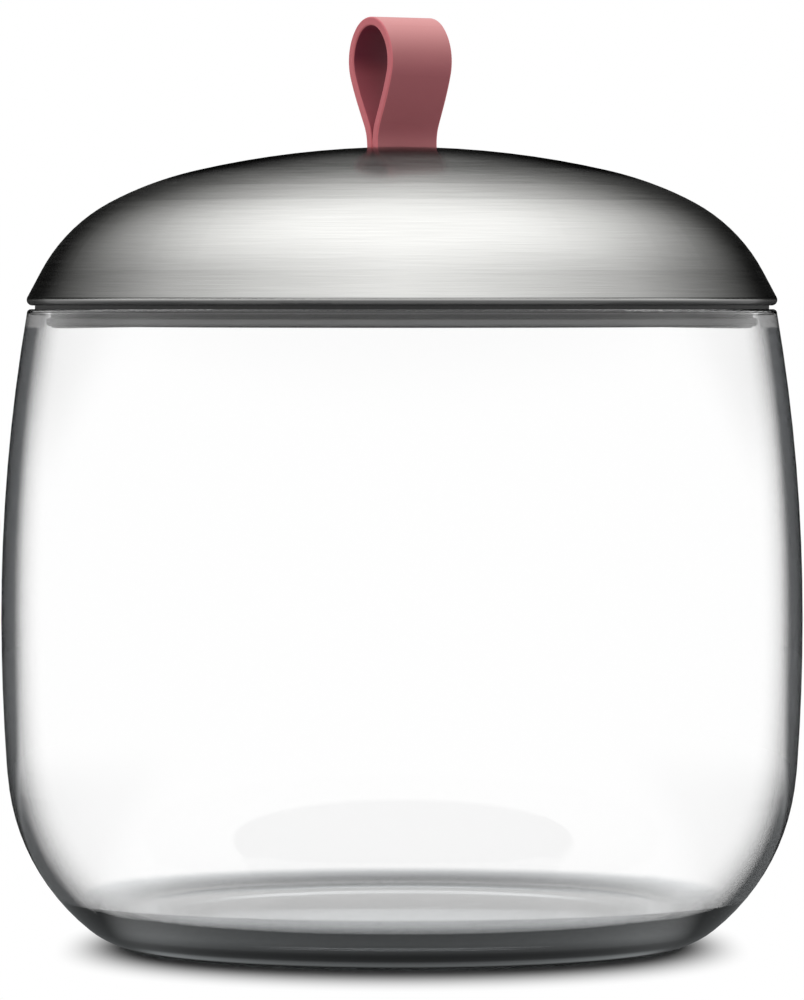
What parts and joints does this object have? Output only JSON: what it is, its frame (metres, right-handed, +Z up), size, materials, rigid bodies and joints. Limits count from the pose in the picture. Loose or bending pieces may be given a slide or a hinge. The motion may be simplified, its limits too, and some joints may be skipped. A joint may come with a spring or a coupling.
{
  "type": "lidded storage jar",
  "caption": "Round clear glass jar, slightly barrel-shaped, with a low domed lid of brushed steel, a grey plug seal and a folded silicone loop to lift it by; keeps coffee capsules on a counter.",
  "frame": {"origin": "centre of the jar's base, level with the table that it stands on", "axes": "+Z up, out of the mouth. The strap's loop opens along X, and its two faces look along -Y, the front, and +Y."},
  "size_m": [0.1548, 0.1548, 0.1795],
  "materials": {
    "clear_glass": "clear, fire-polished",
    "brushed_steel": "satin, brushed in rings around the lid",
    "pink_silicone": "matt dusty pink",
    "grey_silicone": "matt mid grey",
    "grey_plastic": "fine matt grey",
    "black_plastic": "matt black",
    "sheet_steel": "rolled",
    "steel_fasteners": "turned, bright"
  },
  "bodies": {
    "jar": {"glass_jar": "clear_glass"},
    "lid": {"lid_dome": "brushed_steel", "pull_strap": "pink_silicone", "strap_anchor": "black_plastic", "clamp_plate": "sheet_steel", "weld_studs": "steel_fasteners", "stud_washers": "steel_fasteners", "stud_nuts": "steel_fasteners", "clinch_standoff": "steel_fasteners", "lid_liner": "grey_plastic", "seal_ring": "grey_silicone", "liner_screw": "steel_fasteners", "screw_cap": "grey_plastic"}
  },
  "joints": [
    {"name": "lid_lift", "type": "slide", "parent": "jar", "child": "lid", "axis": [0, 0, 1], "range_m": [0, 0.12]}
  ]
}
